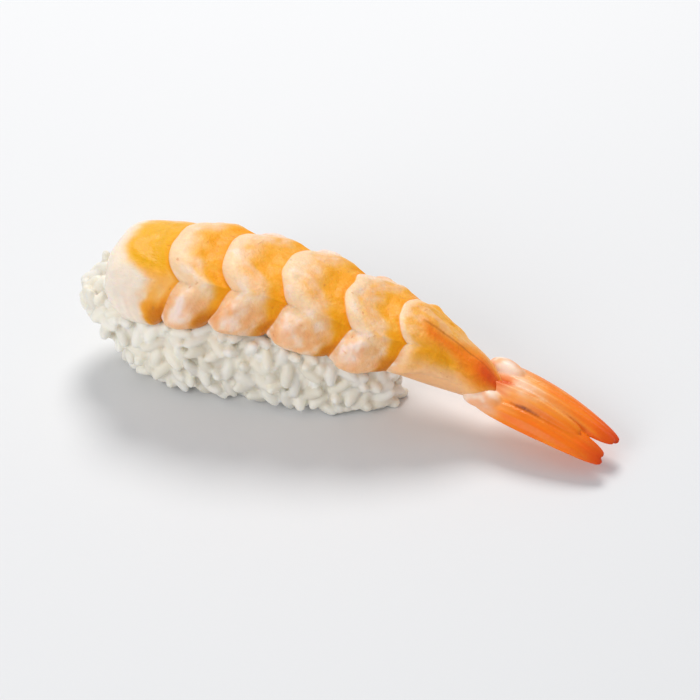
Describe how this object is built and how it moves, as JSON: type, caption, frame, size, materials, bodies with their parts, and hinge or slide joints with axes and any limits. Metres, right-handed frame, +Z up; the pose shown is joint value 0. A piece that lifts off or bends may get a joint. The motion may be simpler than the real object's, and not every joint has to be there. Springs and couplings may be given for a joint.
{
  "type": "shrimp nigiri",
  "caption": "Boiled, butterflied shrimp with its tail fan, draped over a hand-pressed oval block of rice grains.",
  "frame": {"origin": "on the surface that the rice stands on, under the middle of the whole", "axes": "+X from the shrimp's cut head end to its tail, +Y across, +Z up"},
  "size_m": [0.0964, 0.0258, 0.0266],
  "materials": {
    "rice": "satin, moist",
    "shrimp": "satin, moist"
  },
  "bodies": {
    "root": {"rice": "rice", "shrimp": "shrimp"}
  },
  "joints": []
}
